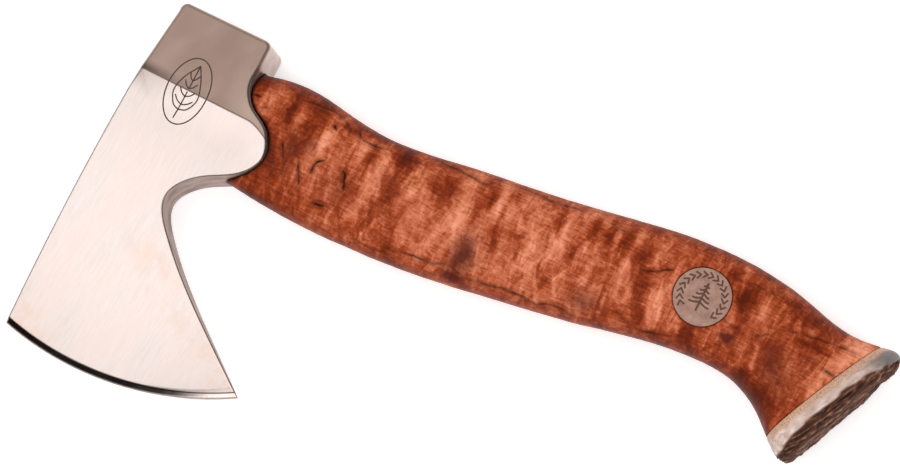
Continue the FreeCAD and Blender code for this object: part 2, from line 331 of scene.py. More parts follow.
def curly_birch():
    """Oiled curly birch: flames and bright curls across the grain, fibres and pores along it."""
    g = Graph("curly_birch")
    place = g.position()
    leaning = g.warped(g.position(stretch=(1.0, 0.24, 0.3), turn=(0, 0, -0.1)), 9.0, 0.07)
    flames = g.noise(leaning, 0.16, 3, 0.5, 0.4)
    bent = g.warped(g.position(stretch=(1.0, 0.34, 0.45)), 5.0, 0.12)
    curls = g.noise(bent, 0.42, 4, 0.62, 0.8)
    veins = g.calc("ABSOLUTE", g.calc("SUBTRACT", g.noise(bent, 0.2, 2, 0.5, 0.2), 0.5))
    patches = g.spread(g.noise(place, 0.06, 2), 0.42, 0.62)
    fibres = g.noise(g.position(stretch=(0.12, 1.0, 1.0)), 1.1, 4, 0.7)
    stipple = g.noise(g.position(stretch=(0.45, 1.1, 1.1)), 1.0, 4, 0.75)
    pores = g.spread(g.noise(g.position(stretch=(0.2, 1.6, 1.6)), 1.1, 2, 0.5), 0.60, 0.72)

    level = g.calc("MULTIPLY_ADD", flames, 0.5, g.attribute("shade"))
    level = g.calc("MULTIPLY_ADD", curls, 0.56, level)
    level = g.calc("MULTIPLY_ADD", fibres, 0.34, level)
    level = g.calc("MULTIPLY_ADD", stipple, 0.42, level)
    bright_vein = g.times(g.spread(veins, 0.0, 0.07, 0.09, 0.0), patches)
    level = g.calc("ADD", level, bright_vein)
    level = g.calc("MULTIPLY_ADD", g.attribute("glow"), 0.17, level)
    tone = g.ramp(g.spread(level, 0.47, 1.34), [
        (0.0, srgb(82, 25, 6)),
        (0.22, srgb(124, 46, 18)),
        (0.42, srgb(156, 69, 37)),
        (0.56, srgb(180, 94, 63)),
        (0.70, srgb(199, 115, 82)),
        (0.84, srgb(218, 135, 103)),
        (1.0, srgb(236, 160, 130)),
    ])
    tone = g.blend(g.times(g.attribute("plum"), 0.92), tone, srgb(78, 24, 16))

    wobble = g.calc("MULTIPLY_ADD", g.noise(place, 1.3, 3), 0.6, -0.3)
    reach = g.calc("ABSOLUTE", g.calc("ADD", g.attribute("crack_side"), wobble))
    depth = g.attribute("crack_depth")
    # painted shadow: a dark brown band on either side of each crack
    crack_shadow = g.times(g.spread(reach, 0.3, 1.8, 0.6, 0.0), depth)
    crack = g.times(g.spread(reach, 0.12, 0.60, 1.0, 0.0), depth)
    tone = g.blend(crack_shadow, tone, srgb(92, 36, 17))
    # painted shade: the dark core of each crack stands in for the shade inside it
    tone = g.blend(g.times(crack, 0.92), tone, srgb(46, 17, 9))
    tone = g.blend(g.times(pores, 0.45), tone, srgb(88, 34, 18))
    # painted shadow against the head, and the dark joint round the disc
    tone = g.blend(g.attribute("dirt_and_shadow"), tone, srgb(46, 17, 9))

    roughness = g.calc("MULTIPLY_ADD", fibres, 0.16, 0.38)
    normal = g.bump(g.calc("SUBTRACT", fibres, pores), 0.05, 0.6)
    normal = g.bump(curls, 0.10, 0.5, below=normal)
    shine = g.calc("MULTIPLY_ADD", g.calc("MAXIMUM", crack_shadow, g.attribute("dirt_and_shadow")), -0.08, 0.08)
    return g.surface(Base_Color=tone, Roughness=roughness, Normal=normal, Specular_IOR_Level=shine)


def antler():
    """Reindeer antler: pale compact rim, porous tan core, brown ridged burr on the outer face."""
    g = Graph("antler")
    place = g.position()
    rough = g.attribute("burr")
    core = g.attribute("core")
    clouds = g.noise(place, 0.22, 4, 0.6)
    grain = g.noise(g.position(stretch=(1.2, 0.35, 0.6), turn=(0, 0, 0.4)), 1.2, 4, 0.65)
    speckle = g.spread(g.noise(place, 2.4, 3, 0.6), 0.50, 0.64)
    streaks = g.noise(g.position(stretch=(1.0, 0.14, 1.0), turn=(0, 0, 0.45)), 0.7, 4, 0.6)
    veiled = g.calc("MULTIPLY_ADD", streaks, 0.6, g.times(clouds, 0.4))

    compact = g.ramp(veiled, [(0.34, srgb(150, 127, 118)), (0.5, srgb(196, 173, 163)),
                              (0.64, srgb(226, 209, 202))])
    compact = g.blend(g.times(g.attribute("slate"), 0.9), compact, srgb(98, 94, 96))
    porous = g.blend(speckle, srgb(196, 158, 133), srgb(150, 109, 86))
    tone = g.blend(core, compact, porous)
    tone = g.blend(g.spread(grain, 0.5, 0.9, 0.0, 0.3), tone, srgb(140, 116, 104))
    # burr tone follows its relief: paler crests, and darker hollows that are partly the antler's colour
    # and partly painted shade
    crust = g.calc("MULTIPLY_ADD", grain, 0.35, g.times(g.attribute("crest_and_hollow_shade"), 0.75))
    burr = g.ramp(crust, [(0.15, srgb(40, 18, 10)), (0.40, srgb(66, 35, 22)),
                          (0.62, srgb(86, 50, 34)), (0.9, srgb(150, 110, 92))])
    tone = g.blend(rough, tone, burr)
    roughness = g.calc("MULTIPLY_ADD", rough, 0.25, 0.42)
    normal = g.bump(speckle, -0.1, g.times(core, 0.5))
    normal = g.bump(grain, 0.15, 0.5, below=normal)
    return g.surface(Base_Color=tone, Roughness=roughness, Normal=normal,
                     Specular_IOR_Level=0.35)


def engraved_antler():
    """The inlaid disc: fine even antler, a little grey, with scorched engraving."""
    g = Graph("medallion_antler")
    place = g.position()
    clouds = g.noise(place, 0.35, 4, 0.6)
    grain = g.noise(g.position(stretch=(0.3, 1.6, 1.0), turn=(0, 0, 0.5)), 1.5, 3, 0.6)
    tone = g.ramp(clouds, [(0.3, srgb(140, 107, 94)), (0.7, srgb(172, 139, 126))])
    tone = g.blend(g.spread(grain, 0.45, 0.8, 0.0, 0.4), tone, srgb(130, 99, 88))
    wobble = g.calc("MULTIPLY_ADD", g.noise(place, 3.0, 2), 0.16, -0.08)
    burn = g.spread(g.calc("ADD", g.attribute("line_gap"), wobble), -0.05, 0.12, 0.9, 0.0)
    tone = g.blend(burn, tone, srgb(78, 48, 30))
    normal = g.bump(grain, 0.04, 0.5)
    return g.surface(Base_Color=tone, Roughness=0.5, Normal=normal, Specular_IOR_Level=0.3)


def etched_steel():
    """Dark etched line work."""
    g = Graph("etched_steel")
    patch = g.noise(g.position(), 1.8, 3, 0.6)
    tone = g.ramp(patch, [(0.3, srgb(50, 38, 33)), (0.7, srgb(88, 70, 62))])
    return g.surface(Base_Color=tone, Roughness=0.7, Normal=g.bump(patch, 0.03, 0.5))


def end_grain(name, light, dark):
    """Sawn wood: fine rings and specks."""
    g = Graph(name)
    rings = g.noise(g.position(stretch=(0.2, 1, 1)), 0.9, 4, 0.6, 1.0)
    tone = g.ramp(rings, [(0.35, dark), (0.65, light)])
    return g.surface(Base_Color=tone, Roughness=0.6, Normal=g.bump(rings, 0.08, 0.6))


def floor_paper():
    """White matt paper on a light table, whose faint glow keeps the shadows light."""
    g = Graph("floor_paper")
    fibres = g.noise(g.position(), 0.02, 3)
    tone = g.ramp(fibres, [(0.3, (0.87, 0.88, 0.90)), (0.7, (0.89, 0.90, 0.92))])
    return g.surface(Base_Color=tone, Roughness=0.9, Specular_IOR_Level=0.1,
                     Emission_Color=(1.0, 1.0, 1.0), Emission_Strength=TABLE_GLOW)


def black_card_paint():
    """Matt black paint."""
    g = Graph("black_card")
    grain = g.noise(g.position(), 0.5, 2)
    tone = g.ramp(grain, [(0.3, (0.010, 0.009, 0.009)), (0.7, (0.014, 0.012, 0.012))])
    return g.surface(Base_Color=tone, Roughness=0.95, Specular_IOR_Level=0.0)


# ---- mesh helpers ---------------------------------------------------------------------------

def add_object(name, mesh):
    made = bpy.data.objects.new(name, mesh)
    bpy.context.collection.objects.link(made)
    return made


def applied(piece):
    """Bakes a piece's modifiers into its mesh."""
    graph = bpy.context.evaluated_depsgraph_get()
    baked = bpy.data.meshes.new_from_object(piece.evaluated_get(graph))
    piece.modifiers.clear()
    piece.data = baked


def fine_copy(node, name, voxel_mm, smoothing):
    """A new piece with a CAD node's shape on an even, fine mesh that can carry relief."""
    piece = add_object(name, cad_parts[node].data.copy())
    remesh = piece.modifiers.new("remesh", "REMESH")
    remesh.mode = "VOXEL"
    remesh.voxel_size = voxel_mm * MM
    soften = piece.modifiers.new("soften", "SMOOTH")
    soften.factor = 0.5
    soften.iterations = smoothing
    applied(piece)
    piece.data.shade_smooth()
    return piece


def finish_piece(piece, material, node):
    """Gives a piece its material, and lets it stand for a CAD node on the one rigid body."""
    piece.data.materials.clear()
    piece.data.materials.append(material)
    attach(piece, "root")
    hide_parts(node)


def vertex_places(piece):
    """The piece's vertices in millimetres, one row each."""
    flat = np.empty(len(piece.data.vertices) * 3)
    piece.data.vertices.foreach_get("co", flat)
    return flat.reshape(-1, 3) / MM


def vertex_normals(piece):
    flat = np.empty(len(piece.data.vertices) * 3)
    piece.data.vertices.foreach_get("normal", flat)
    return flat.reshape(-1, 3)


def move_vertices(piece, places):
    piece.data.vertices.foreach_set("co", (places * MM).ravel())
    piece.data.update()


def store(piece, name, values):
    """Keeps one number per vertex, which a material reads by this name."""
    layer = piece.data.attributes.new(name, "FLOAT", "POINT")
    layer.data.foreach_set("value", np.ascontiguousarray(values, dtype=np.float32))


def soft_step(values, low, high):
    part = np.clip((values - low) / (high - low), 0, 1)
    return part * part * (3 - 2 * part)


def rumple(places, stretch, seed):
    """Smooth noise, about -1 to 1, at each place; stretch is in waves per millimetre."""
    scaled = places * np.array(stretch) + seed
    return np.array([noise.noise(spot) for spot in scaled.tolist()])


def smooth_path(points, steps=8):
    """A Catmull-Rom curve through a few points, as many short runs."""
    points = np.array(points, float)
    padded = np.vstack([2 * points[0] - points[1], points, 2 * points[-1] - points[-2]])
    t = np.linspace(0, 1, steps, endpoint=False)[:, None]
    runs = []
    for before, start, finish, after in zip(padded, padded[1:], padded[2:], padded[3:]):
        straight = 0.5 * (finish - before)
        bend = before - 2.5 * start + 2 * finish - 0.5 * after
        twist = 0.5 * (after - before) + 1.5 * (start - finish)
        runs.append(start + straight * t + bend * t ** 2 + twist * t ** 3)
    return np.vstack(runs + [points[-1:]])


def beside_path(path, spots):
    """For each (x, y) spot, its signed distance from a path and how far along (0 to 1) it lies."""
    distance = np.full(len(spots), np.inf)
    side = np.zeros(len(spots))
    along = np.zeros(len(spots))
    lengths = np.hypot(*(path[1:] - path[:-1]).T)
    reached = np.concatenate([[0], np.cumsum(lengths)])
    for start, finish, length, before in zip(path, path[1:], lengths, reached):
        run = (finish - start) / length
        offset = spots - start
        t = np.clip(offset @ run, 0, length)
        gap = np.hypot(offset[:, 0] - t * run[0], offset[:, 1] - t * run[1])
        nearer = gap < distance
        distance[nearer] = gap[nearer]
        side[nearer] = np.sign(run[0] * offset[nearer, 1] - run[1] * offset[nearer, 0])
        along[nearer] = (before + t[nearer]) / reached[-1]
    return distance * side, along


def blot(spots, centre, size, lean=0.0):
    """A soft elliptical spot, 1 in the middle; size is its half width and half height."""
    turn = math.radians(lean)
    offset = spots - np.array(centre)
    across = offset[:, 0] * math.cos(turn) + offset[:, 1] * math.sin(turn)
    up = offset[:, 1] * math.cos(turn) - offset[:, 0] * math.sin(turn)
    return np.exp(-((across / size[0]) ** 2 + (up / size[1]) ** 2))


# ---- the handle -----------------------------------------------------------------------------
# All places below are (x, y) in millimetres on the handle's upper side.

FIGURE_STRENGTH = 0.9
# dark (-) and light (+) figure: centre, half size, lean in degrees, strength
FIGURE = [
    ((23, 9), (2.5, 5), 0, -0.22), ((31, 7), (4.5, 5), 0, 0.16), ((37.3, 6), (1.3, 6), 0, -0.2),
    ((41, 4), (2.5, 4), 0, 0.08), ((38, -15), (4.5, 5), 0, -0.16), ((46, 2.5), (3, 2), 0, -0.1),
    ((52, 0), (1.5, 5), 0, 0.14), ((56, 9), (4, 1.5), 0, -0.16), ((63, 4.5), (3, 3), 0, 0.12),
    ((69, 3), (1.9, 4.5), 0, -0.28), ((67, -9), (4, 6), 0, -0.14), ((73, -5), (2.2, 12), 0, 0.16),
    ((80, 8.5), (4.2, 3.4), 20, -0.34), ((79, -2), (3, 7), 0, -0.16), ((77, -13), (3, 5), 0, -0.12),
    ((66, 11), (9, 1.6), 0, -0.2), ((88.5, 0), (2.6, 7), 0, 0.18), ((94, -9), (5, 9), 0, 0.14),
    ((87, -22.5), (2, 3), 0, -0.26), ((97, 5), (5, 5), 0, -0.24), ((99.5, -3), (3, 4), 0, -0.14),
    ((105, -5), (3, 8), 10, 0.14), ((112, 9), (3, 4.5), 0, -0.3), ((117, 6), (2, 5), 10, 0.14),
    ((106, -13), (3, 5), 0, -0.1), ((119, -3), (1.5, 6), 10, -0.16), ((123, -9), (2, 7), 0, 0.12),
    ((124, 1), (3, 4), 0, -0.12), ((128.5, -6), (1.2, 4), 0, -0.24), ((132, 2), (2.5, 6), 0, 0.1),
    ((137, 12), (2, 5), 0, -0.24), ((139.5, 8), (1.2, 7), 0, 0.12), ((141, -8), (3, 4), 0, -0.2),
    ((146, 5), (2, 5), 0, -0.16), ((149, 15), (2.5, 4), 0, -0.3), ((154, 14.5), (1.7, 3.2), 0, -0.2),
    ((160, 15), (2, 5), 0, -0.3), ((150, -3), (2, 6), 0, -0.14), ((163.5, 5), (2, 6), 0, 0.14),
    ((167.5, 13), (2.5, 4.5), 0, -0.26), ((172, 3), (2, 6), 0, -0.26), ((169.5, 1), (1.2, 5), 0, 0.12),
    ((165, -8), (2.5, 2.5), 0, -0.2), ((174, -4), (2.5, 4), 0, -0.18), ((179.5, 0), (2, 8), 0, 0.14),
    ((184.5, -3), (2, 5), 0, 0.1), ((192, -4.5), (3, 3.5), 0, -0.24), ((188, -2), (1.4, 4), 0, 0.1),
    ((205, 15), (3.5, 4), 0, -0.3), ((199, 20), (3, 2), 0, -0.14), ((212, 14), (4, 5), 0, 0.12),
    ((211, -2), (1.6, 7), 0, 0.14), ((216, 0), (1.2, 6), 0, 0.1), ((215, -7), (2, 2.5), 0, -0.24),
    ((223, -12), (8, 4), -20, -0.24), ((236, 11.3), (3.2, 1.3), 0, -0.3),
    ((230, 11), (3, 1.2), 0, -0.2), ((243, 10), (3, 3.5), 0, 0.14), ((239, 0), (3, 7), -15, 0.08),
    ((225, 20), (10, 2), -10, -0.2),
    ((247, -8), (4, 12), -20, 0.16), ((246, 3), (3, 5), -20, 0.12), ((111, -21), (4, 1.6), 0, -0.3),
    ((68, -21), (20, 3.5), -6, -0.12), ((249, 18), (6, 3.5), -15, 0.3), ((244, -19), (4, 6), 0, 0.1),
]
# dark plum-coloured patches, with the same columns
PLUM = [
    ((43.5, -5), (2.4, 6), 15, 0.7), ((48.5, -2.5), (2.6, 3.6), 0, 0.6), ((63, -11), (6, 6), 0, 0.35),
    ((79, -3), (4, 7), 0, 0.28), ((112.5, -13), (4.4, 6.8), 0, 1.1), ((156, -9), (6, 3.6), 12, 0.75),
    ((205.3, 0.8), (2.1, 1.6), 0, 1.6), ((222, 1), (3.5, 6), 0, 0.5), ((227, -5), (5, 7), 0, 0.5),
    ((235, 6), (3, 3), 0, 0.35), ((168, 13), (2, 4), 0, 0.3), ((70, 12), (9, 1.4), 0, 0.45),
    ((99, 5), (4, 4), 0, 0.2), ((232, 17), (8, 1.6), 0, 0.3), ((80, 8), (4, 3), 0, 0.35),
    ((111, -21), (4, 1.8), 0, 0.7), ((22, 13), (1.6, 1.2), 0, 0.9), ((37.5, 6), (1.4, 4), 0, 0.3),
]
# narrow bright curls: points, half width
CURLS = [
    ([(51, 5), (51.5, -1), (52.8, -5)], 0.8),
    ([(113.5, -1), (116, -8), (117, -12), (118.6, -17.5)], 0.6),
    ([(142, -3), (145, -9), (147.5, -14)], 0.7),
    ([(161, -3), (162.5, -7), (163.2, -10)], 0.6),
    ([(148, 11), (149.5, 4), (150, -1)], 0.8),
    ([(151.5, 13), (152.5, 18), (155, 19), (157.5, 17), (157.6, 12), (155, 9.5), (152.5, 10.5)], 0.6),
    ([(163, 12), (166, 6), (167.5, 0)], 0.6),
    ([(175, 6), (176.5, 0), (178, -5)], 0.6),
    ([(171.5, 17), (172.7, 13), (170, 10.5)], 0.6),
    ([(53.6, -14), (54, -19), (55, -24)], 0.7),
    ([(77, -20), (78, -23), (79.5, -25)], 0.6),
    ([(47, -9), (47.8, -14), (48.5, -19)], 0.6),
    ([(115, 12), (116.5, 5), (117.5, 0)], 0.7),
    ([(124, 9), (125, 5), (125.5, 2)], 0.6),
    ([(139.5, 14), (140.5, 7), (143, 0)], 0.7),
    ([(180, 3), (181, -2), (181.5, -7)], 0.6),
    ([(194, 0), (195, -3), (196, -7)], 0.5),
    ([(216, 4), (217, -2), (217.5, -7)], 0.6),
    ([(85, 9), (85.5, 2), (87, -4)], 0.8),
    ([(105, -3), (107, -9), (109, -15)], 0.7),
    ([(32, 4), (33.5, 0), (34, -3)], 0.9),
]
# drying cracks and bark seams: points, strength
CRACKS = [
    ([(39.4, -5.4), (41, -8), (42.3, -10.5)], 1.0),
    ([(42.3, -10.5), (43.5, -13), (44.2, -15.8)], 0.45),
    ([(47.2, -8.4), (49, -12), (51.5, -16.4)], 1.0),
    ([(55.2, -4.5), (53.5, -6), (52.8, -8.5), (52.9, -11)], 0.95),
    ([(62.1, -5), (63.6, -6), (64.8, -8.5), (65.9, -11.2)], 0.95),
    ([(57.2, -18.8), (60, -19.3), (63.2, -18.5)], 0.9),
    ([(57.4, -18.4), (60.5, -17.6), (62.9, -18.2)], 0.5),
    ([(36, 10), (42, 11.6), (50, 12.2), (54, 11.4), (57.5, 9.3), (60, 7.6)], 0.55),
    ([(60.3, 12), (61.5, 9), (63.5, 8), (67, 7.6), (71.5, 8.2), (73.5, 9.4)], 0.75),
    ([(22.6, 5.2), (25.6, 5.7)], 0.8),
    ([(27.3, 2.5), (29.9, 2.9)], 0.7),
    ([(52.3, 8), (53.3, 7.2), (54.2, 6.6)], 0.9),
    ([(35, 6.2), (35.6, 5.5), (36, 5)], 0.9),
    ([(87, -22.3), (95, -20.6), (104, -19.6), (108.5, -18), (115, -19)], 0.62),
    ([(115, -19), (122, -18.5), (130, -16.6), (138, -16.3), (142, -16.3)], 0.5),
    ([(136, -17), (142, -16.3), (147, -14.3), (152, -14.1), (155.5, -14.2)], 0.65),
    ([(88, 12.4), (96, 12.9), (103, 12.5), (107.5, 12.1), (110.5, 14.4)], 0.6),
    ([(120, 17), (126, 17.4), (131, 17), (136, 18), (143.5, 19.5)], 0.5),
    ([(152, 19.2), (156, 18.4), (160, 19)], 0.6),
    ([(168.5, 9), (174, 10.6), (176.5, 12.5), (179.5, 13.7)], 0.9),
    ([(167, -6.6), (171, -8.2), (177, -9), (183, -7.6), (188.8, -5.8)], 0.7),
    ([(213.4, 5.5), (215.5, 6.6), (217.5, 8.2)], 0.8),
    ([(221, 12.3), (229, 13.4), (238, 14.8), (248.5, 15.8)], 0.6),
    ([(238.5, 5.6), (244.5, 5.1)], 0.7),
    ([(203, 5.8), (206, 5.2), (208, 5.8)], 0.5),
    ([(203, 20.8), (209, 21.6), (215, 20.6)], 0.5),
]
# x, and how much lighter the wood is there
TONE_ALONG = [(30, -0.10), (45, -0.11), (58, 0.02), (73, 0.02), (88, -0.04), (105, 0.07),
              (125, 0.02), (145, 0.06), (168, -0.04), (205, -0.09), (230, -0.07), (250, 0.04)]
CRACK_REACH = 2.0          # how far from its line a crack still darkens the wood
CRACK_DEPTH = 0.28         # of the groove carved along a crack
RELIEF_FROM = 40           # the wood's waves begin this far before the heel, where it leaves the head,
RELIEF_FULL = 34           # and have their full height this far before it


def handle_axis(places):
    """Returns a function giving the y of the handle's middle line at each x, both in mm."""
    stations = np.linspace(HANDLE_LOW.x / MM + 40, HANDLE_HIGH.x / MM - 12, 24)
    middles = []
    for station in stations:
        near = places[np.abs(places[:, 0] - station) < 2.0, 1]
        middles.append((near.min() + near.max()) / 2)
    return lambda x: np.interp(x, stations, middles)


def turned_over(spots, axis):
    """Where the upper side's figure is read for a spot on the underside, so that they differ."""
    far_x = HANDLE_HIGH.x / MM + 8 - spots[:, 0]
    return np.column_stack([far_x, axis(far_x) - (spots[:, 1] - axis(spots[:, 0]))])


def figure_spots(places):
    """Where each vertex reads the figure: exactly, and with a ragged shift that frays the patches."""
    upper = places[:, 2:] > MID_Z / MM
    axis = handle_axis(places)
    ragged = np.column_stack([1.2 * rumple(places, (0.22, 0.16, 0.2), start)
                              + 0.7 * rumple(places, (0.7, 0.5, 0.6), start + 50)
                              for start in (3.1, 17.7)])
    return [np.where(upper, flat, turned_over(flat, axis))
            for flat in (places[:, :2], places[:, :2] + ragged)]


def blots(spots, marks):
    """The sum of a list of soft spots, each a centre, half size, lean and strength."""
    return sum(strength * blot(spots, centre, size, lean)
               for centre, size, lean, strength in marks)


def curl_glow(places, spots):
    """How brightly a curl shines at each vertex, patchy along its line."""
    glow = np.zeros(len(places))
    for points, width in CURLS:
        gap, along = beside_path(smooth_path(points), spots)
        fade = np.clip(4 * along * (1 - along), 0, 1) ** 0.5
        glow = np.maximum(glow, fade * np.exp(-(gap / width) ** 2))
    return glow * (0.75 + 0.5 * rumple(places, (0.4, 0.3, 0.3), 61))


def nearest_crack(places, spots):
    """Each vertex's signed distance to its nearest crack, and that crack's depth there, 0 to about 1."""
    side = np.full(len(places), CRACK_REACH)
    depth = np.zeros(len(places))
    stray = 0.4 * rumple(places, (0.35, 0.35, 0.3), 71)
    broken = np.clip(0.85 + 0.8 * rumple(places, (0.3, 0.3, 0.3), 83), 0, 1.1)
    for points, strength in CRACKS:
        gap, along = beside_path(smooth_path(points), spots)
        gap += stray
        fade = np.clip(5 * along * (1 - along), 0, 1) ** 0.6 + 0.1
        here = np.abs(gap) < np.abs(side)
        side[here] = gap[here]
        near = 1 - soft_step(np.abs(gap), 0.9, CRACK_REACH)
        depth[here] = (strength * fade * broken * near)[here]
    return side, depth


def joint_dirt_and_shadow(places):
    """Dark joints in the wood: a painted shadow in the gap against the steel head, and a dark ring round
    the inlaid disc.
    """
    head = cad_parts["axe_head"]
    near_head = places[:, 0] < HEAD_HIGH.x / MM + 3
    from_head = np.zeros(len(places))
    for row in np.flatnonzero(near_head):
        spot = Vector(places[row]) * MM
        _, nearest, _, _ = head.closest_point_on_mesh(spot)
        from_head[row] = (nearest - spot).length / MM
    ragged = 0.35 * rumple(places, (0.5, 0.5, 0.4), 91)
    # painted shadow: the wood is darkened close to the steel head
    head_joint_shadow = np.where(near_head, 0.9 * (1 - soft_step(from_head + ragged, 0.3, 1.7)), 0)
    centre, radius = disc_circle()
    from_disc = np.hypot(places[:, 0] - centre[0], places[:, 1] - centre[1]) - radius
    at_disc = (places[:, 2] > MID_Z / MM) * (1 - soft_step(from_disc, 0.15, 0.6))
    return np.maximum(head_joint_shadow, 0.75 * at_disc)


def make_handle(wood):
    """The handle with its figure, slow waves, fine ripples and carved cracks."""
    handle = fine_copy("handle", "birch_handle", voxel_mm=0.5, smoothing=4)
    places = vertex_places(handle)
    normals = vertex_normals(handle)
    exact_spots, ragged_spots = figure_spots(places)
    side, depth = nearest_crack(places, exact_spots)
    # painted shade: the handle is painted darker where its surface turns away from straight up
    handle_side_shade = 1 - soft_step(normals[:, 2], 0.25, 0.95)
    regions = np.interp(places[:, 0], *zip(*TONE_ALONG)) - 0.15 * handle_side_shade
    store(handle, "shade", FIGURE_STRENGTH * blots(ragged_spots, FIGURE) + regions)
    store(handle, "plum", np.clip(blots(ragged_spots, PLUM), 0, 1))
    store(handle, "glow", curl_glow(places, exact_spots))
    store(handle, "crack_side", side)
    store(handle, "crack_depth", depth)
    store(handle, "dirt_and_shadow", joint_dirt_and_shadow(places))

    waves = 0.14 * rumple(places, (0.11, 0.03, 0.05), 5.0)
    ripples = 0.05 * rumple(places, (0.5, 0.12, 0.2), 11.0)
    carved = -CRACK_DEPTH * depth * np.exp(-(side / 0.45) ** 2)
    heel_x = HEAD_HIGH.x / MM
    in_open = soft_step(places[:, 0], heel_x - RELIEF_FROM, heel_x - RELIEF_FULL)
    shift = (waves + ripples) * in_open + carved
    move_vertices(handle, places + normals * shift[:, None])
    finish_piece(handle, wood, "handle")


# ---- the butt cap ---------------------------------------------------------------------------

def seam_plane():
    """The cap's inner face: a point on it and its direction towards the butt, in millimetres."""
    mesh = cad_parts["butt_cap"].data
    largest = max(mesh.polygons, key=lambda face: face.area * (face.normal.x < -0.5))
    return np.array(largest.center) / MM, -np.array(largest.normal)


def make_cap(material):
    """The cap with its rough burr, whose ridges run lengthwise, and a lightly uneven rim."""
    cap = fine_copy("butt_cap", "antler_cap", voxel_mm=0.35, smoothing=3)
    places = vertex_places(cap)
    normals = vertex_normals(cap)
    on_seam, outward = seam_plane()
    height = (places - on_seam) @ outward
    lengthwise = np.array([-outward[1], outward[0], 0])
    local = np.column_stack([places @ lengthwise, places[:, 2], height])
    middle = (local[:, 0].min() + local[:, 0].max()) / 2
    towards_end = (local[:, 0] - middle) / (local[:, 0].max() - middle)

    wander = rumple(local, (0.08, 0.10, 0.10), 2.0)
    bent = local + np.outer(wander, (0, 2.4, 2.0))
    ridges = 0.6 - 2.6 * np.abs(rumple(bent, (0.035, 0.36, 0.36), 8.0))
    teeth = 0.6 - 2.6 * np.abs(rumple(bent, (0.08, 0.85, 0.85), 21.0))
    pits = rumple(local, (0.5, 1.3, 1.3), 33.0)
    # how high the burr stands at each vertex, which the material turns into paler crests and darker
    # hollows, partly painted shade
    crest_and_hollow_shade = 0.42 + 0.3 * ridges + 0.5 * teeth + 0.4 * pits

    burr_from = 4.9 + 2.3 * towards_end ** 2 + 0.9 * rumple(local, (0.16, 0.3, 0.1), 40.0)
    rough = soft_step(height, burr_from, burr_from + 0.9)
    relief = rough * (0.75 * ridges + 0.5 * teeth + 0.3 * pits - 0.55)
    open_side = soft_step(height, 0.6, 1.6) * (1 - rough)
    relief += open_side * 0.12 * rumple(local, (0.2, 0.2, 0.5), 4.0)
    move_vertices(cap, places + normals * relief[:, None])
    store(cap, "burr", rough)
    store(cap, "crest_and_hollow_shade", np.clip(crest_and_hollow_shade, 0, 1))
    store(cap, "slate", soft_step(towards_end, 0.45, 0.85))
    porous_to = 1.6 + 0.5 * rumple(local, (0.3, 0.3, 0.3), 9.0)
    store(cap, "core", 1 - soft_step(height, porous_to, porous_to + 1.6))
    finish_piece(cap, material, "butt_cap")


# ---- marks: an etched leaf on the head and an engraved disc in the handle ---------------------

# Sizes of the marks, in millimetres
ETCH_WIDTH = 0.46
ETCH_TOP = 0.04              # of an etched line above the steel
ETCH_BOTTOM = -0.06
LEAF_HALF_WIDTH = 7.3        # of its oval frame
LEAF_HALF_HEIGHT = 12.0
LEAF_INSET = 22.6            # of its middle, from the head's side away from the handle
ENGRAVING_DEPTH = 0.14       # of a line on the disc
WREATH_RADIUS = 7.6


def oval(centre, half_width, half_height):
    """Points round an ellipse."""
    return [(centre[0] + half_width * math.cos(math.radians(turn)),
             centre[1] + half_height * math.sin(math.radians(turn)))
            for turn in np.linspace(0, 360, 25)]


def leaf_strokes(centre, half_width, half_height):
    """A plain leaf in an oval frame: stem, midrib and curved side veins, in millimetres."""
    x, y = centre
    stem_foot = (x - 0.5, y - 0.86 * half_height)
    leaf_foot = (x - 0.2, y - 0.58 * half_height)
    tip = (x + 0.3, y + 0.8 * half_height)
    strokes = [oval(centre, half_width, half_height), [stem_foot, (x, y - 0.3 * half_height), tip]]
    for side in (-1, 1):
        outline = [(x + side * 0.42 * half_width, y + 0.35 * half_height),
                   (x + side * 0.62 * half_width, y - 0.12 * half_height),
                   (x + side * 0.36 * half_width, y - 0.48 * half_height)]
        strokes.append([tip, *outline, leaf_foot])
        for step in range(4):
            low = y + (-0.42 + 0.25 * step) * half_height
            reach = side * (0.46 - 0.07 * step) * half_width
            strokes.append([(x, low), (x + 0.55 * reach, low + 0.07 * half_height),
                            (x + reach, low + 0.2 * half_height)])
    return strokes


def add_strip(vertices, faces, path, node):
    """Adds a thin closed strip that follows a path over a node's surface."""
    first = len(vertices)
    run = np.gradient(path, axis=0)
    run /= np.hypot(run[:, 0], run[:, 1])[:, None]
    for (x, y), (run_x, run_y) in zip(path, run):
        for side, lift in ((1, ETCH_TOP), (-1, ETCH_TOP), (-1, ETCH_BOTTOM), (1, ETCH_BOTTOM)):
            spot_x = x - side * run_y * ETCH_WIDTH / 2
            spot_y = y + side * run_x * ETCH_WIDTH / 2
            height = surface_height(node, spot_x, spot_y) + lift * MM
            vertices.append((spot_x * MM, spot_y * MM, height))
    last = len(vertices) - 4
    for here in range(first, last, 4):
        for corner in range(4):
            following = (corner + 1) % 4
            faces.append((here + corner, here + following, here + 4 + following, here + 4 + corner))
    faces.append((first + 3, first + 2, first + 1, first))
    faces.append((last, last + 1, last + 2, last + 3))


def make_etched_leaf(material):
    """The leaf on the upper cheek, halfway across the crease."""
    centre = (HEAD_LOW.x / MM + LEAF_INSET, crease_at(0).y - 0.4)
    vertices, faces = [], []
    for stroke in leaf_strokes(centre, LEAF_HALF_WIDTH, LEAF_HALF_HEIGHT):
        add_strip(vertices, faces, smooth_path(stroke, steps=5), "axe_head")
    mesh = bpy.data.meshes.new("etched_leaf")
    mesh.from_pydata(vertices, [], faces)
    leaf = add_object("etched_leaf", mesh)
    leaf.data.materials.append(material)
    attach(leaf, "root")


def disc_circle():
    """The inlaid disc's centre (x, y) and radius, in millimetres."""
    centre = ((DISC_LOW.x + DISC_HIGH.x) / 2 / MM, (DISC_LOW.y + DISC_HIGH.y) / 2 / MM)
    return centre, (DISC_HIGH.x - DISC_LOW.x) / 2 / MM


